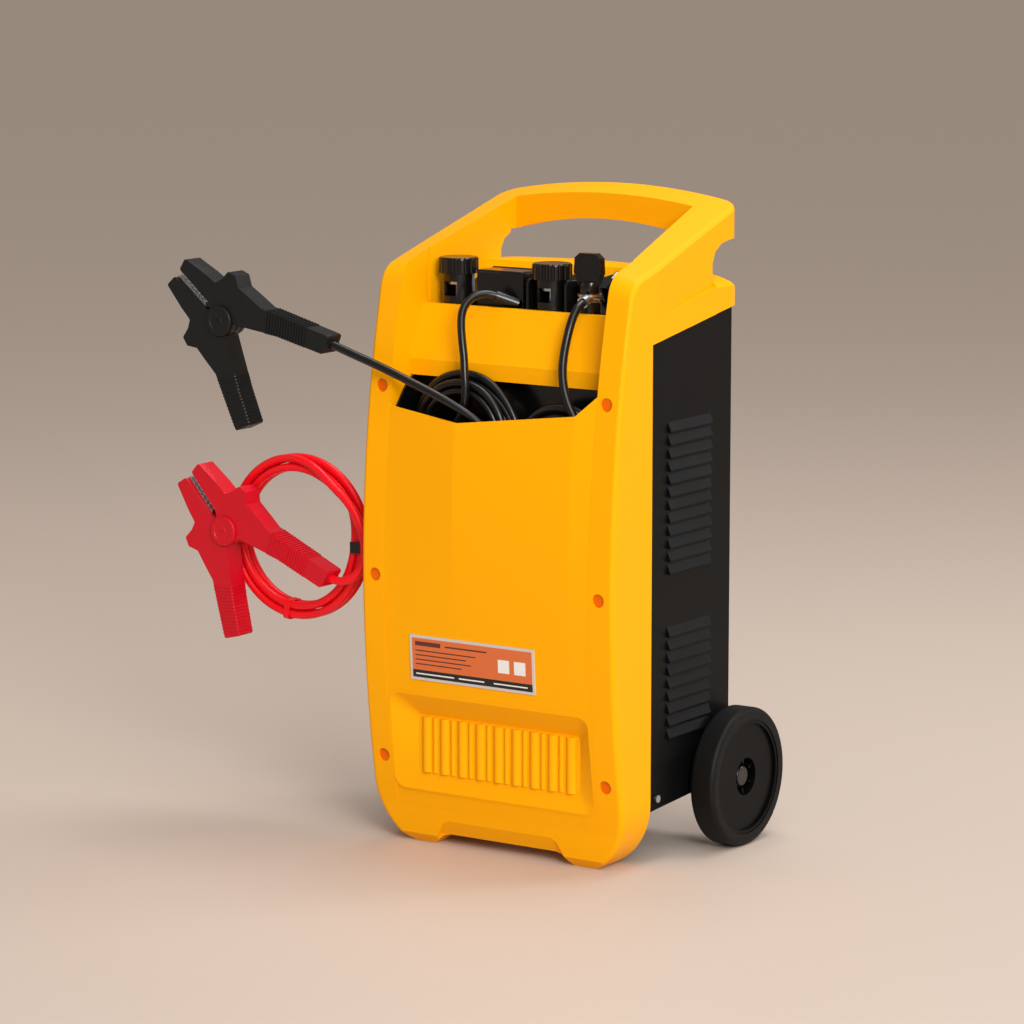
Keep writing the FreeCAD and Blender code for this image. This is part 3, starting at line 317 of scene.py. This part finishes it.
for i, text in enumerate(("0", "20", "40", "60", "80")):
    swing = math.radians(FIGURE_SWING - FIGURE_SWING / 2 * i)
    figure("ammeter_figure_" + text, text, (*on_dial(FIGURE_RADIUS, swing), FIGURE_HEIGHT), swing)

# ---- switch marks and timer dial --------------------------------------------------
KEY_TIP = math.radians(12)      # the keys rest tipped by this
KEY_TOP = 2.9                   # height of a key's top over the panel at its pivot, mm
KEY_RISE = 0.16                 # its top rises by this share of the distance from the pivot
MARK_HALF = 0.45                # half width of a printed line
MARK_SUNK, MARK_TOP = -0.02, 0.1
BAR_START, BAR_END = 4.4, 8.2                   # the bar at one end of a key, from its pivot
RING_AT, RING_IN, RING_OUT = -6.3, 1.2, 1.9     # the ring at the other end: middle and radii
for title in ("power", "charge"):
    x = joint_at(title + "_switch_tilt")[0] / MM
    marks = Solids()

    def key_top(a, b, h, x=x):
        """Top of a key: b along it from the pivot, before it tips."""
        n = KEY_TOP + KEY_RISE * abs(b) + h
        c, s = math.cos(KEY_TIP), math.sin(KEY_TIP)
        return deck(x + a, SLOPE_MID + b * c + n * s, -b * s + n * c)

    marks.slab(rectangle(-MARK_HALF, BAR_START, MARK_HALF, BAR_END), MARK_SUNK, MARK_TOP, key_top)
    marks.ring((0, RING_AT), RING_IN, RING_OUT, MARK_SUNK, MARK_TOP, key_top)
    marks.piece(title + "_switch_marks", PRINT_WHITE, title + "_key", "label")

DIAL_SWING = 150                    # the timer's scale goes this far to each side, degrees
DIAL_IN, DIAL_OUT, DIAL_LONG_OUT = 19.0, 21.6, 23.0
DIAL_SUNK, DIAL_TOP = -0.05, 0.12
POINTER_HALF, POINTER_IN, POINTER_OUT = 0.7, 3, 15
KNOB_PRINT_LOW, KNOB_PRINT_TOP = 19.9, 20.12
dial = Solids()
for i in range(SCALE_STEPS + 1):
    swing = math.radians(DIAL_SWING - 2 * DIAL_SWING / SCALE_STEPS * i)
    tick = rectangle(-MARK_HALF, DIAL_IN, MARK_HALF, DIAL_OUT if i % LONG_EVERY else DIAL_LONG_OUT)
    dial.slab(turned(tick, swing, (TIMER_X, SLOPE_MID)), DIAL_SUNK, DIAL_TOP, deck)
dial.piece("timer_scale", PRINT_WHITE, "machine", "label")
pointer = Solids()
bar = rectangle(TIMER_X - POINTER_HALF, SLOPE_MID + POINTER_IN,
                TIMER_X + POINTER_HALF, SLOPE_MID + POINTER_OUT)
pointer.slab(bar, KNOB_PRINT_LOW, KNOB_PRINT_TOP, deck)
pointer.piece("timer_pointer", PRINT_WHITE, "timer_dial", "label")


# ---- covers on the clamps' rivets -------------------------------------------------
COVER = ((16.1, -2.1), (16.1, 0.4), (15.3, 1.1), (11.2, 1.1), (10.7, 0.6), (4.2, 0.6), (3.9, 1.0),
         (2.2, 1.0), (2.0, 0.3), (0.4, 0.3))        # (radius, height out of the rivet's face), mm


def rivet_centre(colour):
    """A clamp's pivot (x, z), from the joint that opens it."""
    x, _, z = joint_at(colour + "_clamp_open")
    return x, z


def rivet_cover(colour, slot, count=48):
    """A stepped disc about the Y axis on the front of a clamp's rivet."""
    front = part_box(colour + "_clamp_metalwork")[0].y
    x, z = rivet_centre(colour)
    verts, faces = [], []
    for radius, out in COVER:
        for i in range(count):
            t = 2 * math.pi * i / count
            verts.append((x + radius * MM * math.cos(t), front - out * MM, z + radius * MM * math.sin(t)))
    for k in range(len(COVER) - 1):
        this, after = k * count, (k + 1) * count
        for i in range(count):
            j = (i + 1) % count
            faces.append((this + i, this + j, after + j, after + i))
    last = (len(COVER) - 1) * count
    faces.append(tuple(last + i for i in range(count)))
    faces.append(tuple(reversed(range(count))))
    return mesh_piece(colour + "_clamp_rivet_cover", verts, faces, FINISH[slot], "machine")


for colour, slot_name in CLAMPS:
    rivet_cover(colour, slot_name)


# ---- ribbed grips of the clamps ---------------------------------------------------
RIB_PITCH, RIB_WIDTH, RIB_HEIGHT = 0.0036, 0.0017, 0.0008       # m
RIB_CORNER = 0.0012                     # cut off the corners of a band
RIB_START, RIB_END = 0.060, 0.112       # distance from the pivot


def arm_section(mesh, pivot, along, across, station):
    """Low and high across, front and back of an arm, where it is cut at a station along its handle."""
    across_values, y_values = [], []
    for edge in mesh.edges:
        a, b = (mesh.vertices[index].co - pivot for index in edge.vertices)
        at_a, at_b = a.dot(along), b.dot(along)
        if (at_a < station) != (at_b < station):
            cut = a.lerp(b, (station - at_a) / (at_b - at_a))
            across_values.append(cut.dot(across))
            y_values.append(cut.y)
    return min(across_values), max(across_values), min(y_values), max(y_values)


def grip_ribs(colour, arm, body, slot):
    """Low bands round a clamp arm's handle, square to it."""
    mesh = NODES[f"{colour}_clamp_{arm}_arm"].data
    x, z = rivet_centre(colour)
    pivot = Vector((x, 0.0, z))
    far = [v.co - pivot for v in mesh.vertices if math.hypot(v.co.x - x, v.co.z - z) > RIB_END]
    along = sum(far, Vector()) / len(far)
    along.y = 0.0
    along.normalize()
    across = Vector((along.z, 0.0, -along.x))
    ribs = Solids()
    station = RIB_START
    while station < RIB_END:
        low, high, front, back = arm_section(mesh, pivot, along, across, station)
        low, high, front, back = low - RIB_HEIGHT, high + RIB_HEIGHT, front - RIB_HEIGHT, back + RIB_HEIGHT
        c = RIB_CORNER
        outline = [(low + c, front), (high - c, front), (high, front + c), (high, back - c),
                   (high - c, back), (low + c, back), (low, back - c), (low, front + c)]
        ribs.slab(outline, station, station + RIB_WIDTH,
                  lambda a, y, t: pivot + across * a + along * t + Vector((0.0, y, 0.0)))
        station += RIB_PITCH
    ribs.piece(f"{colour}_clamp_{arm}_grip_ribs", FINISH[slot], body, slot)


for colour, slot_name in CLAMPS:
    grip_ribs(colour, "fixed", "machine", slot_name)
    grip_ribs(colour, "moving", colour + "_jaw", slot_name)

# ---- rating label -----------------------------------------------------------------
# Three points of the bowed front's profile: (behind the joint plane, height), mm.
FRONT_LOW, FRONT_MID, FRONT_HIGH = (-50.0, 40.0), (-74.0, 313.0), (-41.0, 586.0)


def arc_through(a, b, c):
    """Centre and radius of the circle through three points of the profile."""
    d = 2 * (a[0] * (b[1] - c[1]) + b[0] * (c[1] - a[1]) + c[0] * (a[1] - b[1]))
    sa, sb, sc = (p[0] ** 2 + p[1] ** 2 for p in (a, b, c))
    u = (sa * (b[1] - c[1]) + sb * (c[1] - a[1]) + sc * (a[1] - b[1])) / d
    v = (sa * (c[0] - b[0]) + sb * (a[0] - c[0]) + sc * (b[0] - a[0])) / d
    return u, v, math.hypot(a[0] - u, a[1] - v)


ARC_Y, ARC_Z, ARC_R = arc_through(FRONT_LOW, FRONT_MID, FRONT_HIGH)


def front_face(x, z, out):
    """Point on the bulged front, out mm in front of it."""
    side = -1 if ARC_Y > FRONT_MID[0] else 1
    depth = ARC_Y + side * math.sqrt(ARC_R ** 2 - (z - ARC_Z) ** 2)
    return Vector((x * MM, (JOINT_Y + depth - out) * MM, z * MM))


LABEL_ROW = 12          # height of one flat row of a printed area, mm
LABEL_SUNK = 1.0        # height of a printed area's underside, inside the label's plate, mm


def label_patch(name, areas, out, material):
    """Printed areas (x0, z0, x1, z1), each bent to the front in rows; out: height of the print, mm."""
    patch = Solids()
    for x0, z0, x1, z1 in areas:
        count = max(1, int(round((z1 - z0) / LABEL_ROW)))
        for i in range(count):
            low, high = z0 + (z1 - z0) * i / count, z0 + (z1 - z0) * (i + 1) / count
            patch.slab(rectangle(x0, low, x1, high), LABEL_SUNK, out, front_face)
    return patch.piece(name, material, "machine", "label")


# The label's print, mm. Each layer stands a little higher than the one under it.
LABEL_LEFT, LABEL_RIGHT, LABEL_LOW, LABEL_HIGH, BAND_HIGH = -92, 58, 185, 227, 193
TEXT_LEFT = -88
FIELD_OUT, BAND_OUT, INK_OUT, BAND_INK_OUT = 1.36, 1.42, 1.46, 1.5
title_lines = [(TEXT_LEFT, 219, -56, 223.5), (-50, 220, 2, 221.6)]
text_lines = [(TEXT_LEFT, low, right, low + 1.2)
              for low, right in ((213.2, -12), (208.4, -24), (203.6, -18), (198.8, -30))]
band_lines = [(left, 188.2, right, 189.6) for left, right in ((TEXT_LEFT, -40), (-34, -2), (10, 52))]
label_patch("label_field", [(LABEL_LEFT, LABEL_LOW, LABEL_RIGHT, LABEL_HIGH)], FIELD_OUT, LABEL_FIELD)
label_patch("label_band", [(LABEL_LEFT, LABEL_LOW, LABEL_RIGHT, BAND_HIGH)], BAND_OUT, PRINT_BLACK)
label_patch("label_lines", title_lines + text_lines, INK_OUT, LABEL_PRINT)
label_patch("label_squares", [(16, 201, 30, 215), (36, 201, 50, 215)], INK_OUT, PRINT_WHITE)
label_patch("label_band_lines", band_lines, BAND_INK_OUT, PRINT_WHITE)


# ---- cords ------------------------------------------------------------------------
def ease(t):
    """0 to 1, starting and ending gently."""
    t = min(1.0, max(0.0, t))
    return t * t * (3 - 2 * t)


def winding(centre, start, end, stops, step=15.0):
    """Route points of a flat coil round centre (x, z), from angle start to end in degrees.
    stops: (angle travelled, radius, depth), eased from one to the next."""
    count = max(2, int(round(abs(end - start) / step)))
    points = []
    for i in range(count + 1):
        angle = start + (end - start) * i / count
        travelled = abs(angle - start)
        radius, depth = stops[0][1], stops[0][2]
        for (u0, r0, d0), (u1, r1, d1) in zip(stops, stops[1:]):
            if travelled >= u0:
                t = ease((travelled - u0) / (u1 - u0))
                radius, depth = r0 + (r1 - r0) * t, d0 + (d1 - d0) * t
        c = math.radians(angle)
        points.append((centre[0] + radius * math.cos(c), depth, centre[1] + radius * math.sin(c)))
    return points


# Routes of the free stretches as (x, behind the joint plane, z), mm; negative is in front of the plane.
MAINS_UP = [(-32, 7.3, 578.5), (-41.5, -0.8, 583.2), (-48.5, -9.1, 583.5), (-53.8, -18, 580),
            (-56.7, -26, 573.5), (-56.8, -32.5, 564.5), (-54, -37.5, 551.5), (-50, -41, 536),
            (-46, -43.5, 520), (-43, -47, 503), (-41, -48.2, 486), (-43, -48.5, 470), (-49, -48.7, 455.5),
            (-59, -49, 443), (-73, -49.5, 432), (-86, -48.5, 421), (-97, -48.3, 409), (-104, -47.6, 396),
            (-105, -46, 383), (-99, -44, 372.5)]
MAINS_DOWN = [(-42, -47.5, 381), (-24, -47.5, 377), (-8, -45, 369), (7, -41, 360), (22, -36, 354.5),
              (37.8, -34, 354)]
BLACK_UP = [(73, 3, 583.2), (73, -8.1, 579.2), (72.5, -17.5, 571), (72, -24.2, 559.5),
            (71.5, -29.5, 546.5), (72, -36, 531), (74, -42, 514), (79, -46.5, 497), (86, -48.5, 481),
            (95, -48.5, 466), (103, -48.5, 450)]
BLACK_RUN = [(52, -48, 386), (35, -48, 392), (20, -48, 402), (8, -48, 416), (-1, -49.5, 432),
             (-11, -51.5, 447), (-25, -56.5, 460.5), (-42, -61, 471), (-62, -65, 481), (-86, -69, 491),
             (-112, -73, 502), (-138, -77, 512), (-162, -81, 520.5), (-188, -84.6, 530)]
RED_CLAMP = [(-212, -60.4, 277), (-200, -60.2, 273.3), (-188, -59.6, 274.4), (-177, -58.3, 280),
             (-169, -57.7, 289), (-165, -57, 301), (-165, -56, 315), (-169.5, -54.5, 330.5),
             (-178.5, -52.8, 346), (-193, -51, 360)]
RED_GLAND = [(-184.5, -22, 331), (-191.5, -14, 345), (-196.5, -5, 357.5), (-198, 5, 369.5),
             (-193.5, 13, 380.5), (-184, 16.8, 388), (-174, 17, 390), (-162.5, 17, 390)]

# Coils: the turns lie beside and behind one another, and each stop keeps a lane or moves to the next one.
FULL_TURN = 360
RED_CENTRE = (-266, 312)
MAINS_COIL = winding((-54, 440), 248, 248 + 5 * FULL_TURN + 18, [
    (0, 74, -41), (60, 72, -29.4), (80, 72, -29.4), (150, 62.6, -29.4), (460, 62.6, -29.4),
    (530, 53.7, -29.4), (840, 53.7, -29.4), (900, 44.9, -29.4), (1160, 44.9, -29.4), (1220, 44.9, -38.2),
    (1460, 44.9, -38.2), (1520, 53.7, -38.2), (1740, 53.7, -38.2), (1818, 56, -47.5)])
BLACK_COIL = winding((68, 428), 7, 7 - 4 * FULL_TURN - 94, [
    (0, 42, -48.5), (60, 57.5, -47), (130, 57.5, -29.2), (140, 57.5, -29.2), (200, 47.9, -29.2),
    (500, 47.9, -29.2), (560, 38.6, -29.2), (850, 38.6, -29.2), (892, 38.6, -38.6), (1180, 38.6, -38.6),
    (1240, 47.9, -38.6), (1465, 47.9, -38.6), (1534, 43.5, -48)])
RED_COIL = winding(RED_CENTRE, 46, 46 + 4 * FULL_TURN - 41.2, [
    (0, 82, -50), (60, 86, -40.2), (320, 85.3, -40.2), (375, 75.7, -40.2), (660, 75.7, -40.2),
    (715, 75.7, -29.8), (1010, 75.7, -29.8), (1055, 85.3, -29.8), (1398.8, 85.3, -29.8)])


def cord_curve(name, route, diameter, slot):
    """One smooth open spline with the route's points as its control points."""
    curve = bpy.data.curves.new(name, "CURVE")
    curve.dimensions = "3D"
    curve.bevel_depth = diameter / 2
    curve.bevel_resolution = 5
    curve.resolution_u = 6
    curve.use_fill_caps = True
    spline = curve.splines.new("NURBS")
    spline.points.add(len(route) - 1)
    for point, (x, depth, z) in zip(spline.points, route):
        point.co = (x * MM, (JOINT_Y + depth) * MM, z * MM, 1.0)
    spline.order_u = 3
    spline.use_endpoint_u = True
    piece = bpy.data.objects.new(name, curve)
    SCENE.collection.objects.link(piece)
    curve.materials.append(FINISH[slot])
    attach(piece, "machine")
    return piece


MAINS_D, LEAD_D = 0.0085, 0.009     # diameters, m
RED_ROUTE = list(reversed(RED_CLAMP + RED_COIL + RED_GLAND))
mains = cord_curve("mains_lead", MAINS_UP + MAINS_COIL + MAINS_DOWN, MAINS_D, "black_cord")
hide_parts("mains_lead_up", "mains_coil", "mains_lead_down")
black = cord_curve("black_battery_lead", BLACK_UP + BLACK_COIL + BLACK_RUN, LEAD_D, "black_cord")
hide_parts("black_lead_up", "black_lead_coil", "black_lead_run")
red = cord_curve("red_battery_lead", RED_ROUTE, LEAD_D, "red_cord")
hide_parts("red_lead_clamp_end", "red_coil", "red_lead_gland_end")


STRAP_WIDTH, STRAP_THICK, STRAP_CORNER = 7.0, 1.1, 3.5      # mm
STRAP_PARTS = 4                                             # flats in the bend at a corner


def strap(name, centre, radius, angle, depth, half_radial, half_depth, slot):
    """A strap round a coil's turns at one angle; half_radial, half_depth: half sizes of its opening, mm."""
    t = math.radians(angle)
    middle = Vector((centre[0] + radius * math.cos(t), JOINT_Y + depth, centre[1] + radius * math.sin(t)))
    outward = Vector((math.cos(t), 0, math.sin(t)))
    along = Vector((-math.sin(t), 0, math.cos(t)))
    back = Vector((0, 1, 0))
    verts = []
    for r in (STRAP_CORNER, STRAP_CORNER + STRAP_THICK):
        loop = []
        for cx, cy, base in ((1, 1, 0), (-1, 1, 90), (-1, -1, 180), (1, -1, 270)):
            for k in range(STRAP_PARTS + 1):
                t = math.radians(base + 90 / STRAP_PARTS * k)
                loop.append((cx * (half_radial - STRAP_CORNER) + r * math.cos(t),
                             cy * (half_depth - STRAP_CORNER) + r * math.sin(t)))
        for side in (-STRAP_WIDTH / 2, STRAP_WIDTH / 2):
            verts += [(middle + outward * p + back * q + along * side) * MM for p, q in loop]
    count = len(verts) // 4
    faces = []
    for i in range(count):
        j = (i + 1) % count
        in_low, in_high, out_low, out_high = ((k * count + i, k * count + j) for k in range(4))
        faces += [(in_low[0], in_high[0], in_high[1], in_low[1]),
                  (out_low[0], out_low[1], out_high[1], out_high[0]),
                  (in_low[0], in_low[1], out_low[1], out_low[0]),
                  (in_high[0], out_high[0], out_high[1], in_high[1])]
    return mesh_piece(name, verts, faces, FINISH[slot], "machine")


strap("red_coil_strap", RED_CENTRE, 80.5, 262, -35, 9.6, 9.8, "red_cord")

# ---- stage, light and camera ------------------------------------------------------
FLOOR = finish("floor", (204, 188, 175), 0.6)
MIDDLE = Vector((0.0, -0.03, 0.35))                     # what the softboxes point at
WARM, NEUTRAL = (1.0, 0.98, 0.95), (1.0, 0.98, 0.96)
SKY_ENERGY, ROOM_STRENGTH = 1.15, 0.35
LENS, LOOK_DOWN, LOOK_LEFT = 144.87, 9.2518, 34.0426    # mm, degrees, degrees


def plain_floor(reach=40.0):
    """A level floor, far wider than the object."""
    mesh = bpy.data.meshes.new("floor")
    corners_of_floor = [(a, b, 0) for a, b in rectangle(-reach, -reach, reach, reach)]
    mesh.from_pydata(corners_of_floor, [], [(0, 1, 2, 3)])
    floor = bpy.data.objects.new("floor", mesh)
    mesh.materials.append(FLOOR)
    SCENE.collection.objects.link(floor)


plain_floor()


def softbox(name, at, size, power, colour=(1.0, 1.0, 1.0)):
    """A rectangular light at a place, turned to the object's middle."""
    light = bpy.data.lights.new(name, "AREA")
    light.shape = "RECTANGLE"
    light.size, light.size_y = size
    light.energy = power
    light.color = colour
    lamp = bpy.data.objects.new(name, light)
    lamp.location = at
    lamp.rotation_euler = (MIDDLE - Vector(at)).to_track_quat("-Z", "Y").to_euler()
    SCENE.collection.objects.link(lamp)


softbox("key", (2.75, -2.5, 1.75), (1.3, 1.3), 92, WARM)
softbox("fill", (-2.8, -2.4, 1.6), (1.8, 1.8), 5, NEUTRAL)
softbox("top", (0.2, 0.6, 2.9), (1.8, 1.4), 40)
softbox("rim", (2.2, 2.4, 1.6), (1.0, 1.4), 22)
sky = bpy.data.lights.new("sky_panel", "SUN")
sky.energy = SKY_ENERGY
sky.angle = math.radians(50)
sky_lamp = bpy.data.objects.new("sky_panel", sky)
sky_lamp.rotation_euler = (math.radians(42), math.radians(14), math.radians(38))
SCENE.collection.objects.link(sky_lamp)
world = bpy.data.worlds.new("studio")
SCENE.world = world
world.use_nodes = True
background = world.node_tree.nodes["Background"]
background.inputs["Color"].default_value = linear(226, 214, 204)
background.inputs["Strength"].default_value = ROOM_STRENGTH
SCENE.view_settings.view_transform = "Standard"

camera_data = bpy.data.cameras.new("camera")
camera_data.sensor_width = 36.0
camera_data.lens = LENS
camera = bpy.data.objects.new("camera", camera_data)
camera.location = (2.3586, -3.5815, 1.0471)
camera.rotation_euler = (math.radians(90 - LOOK_DOWN), 0.0, math.radians(LOOK_LEFT))
SCENE.collection.objects.link(camera)
SCENE.camera = camera
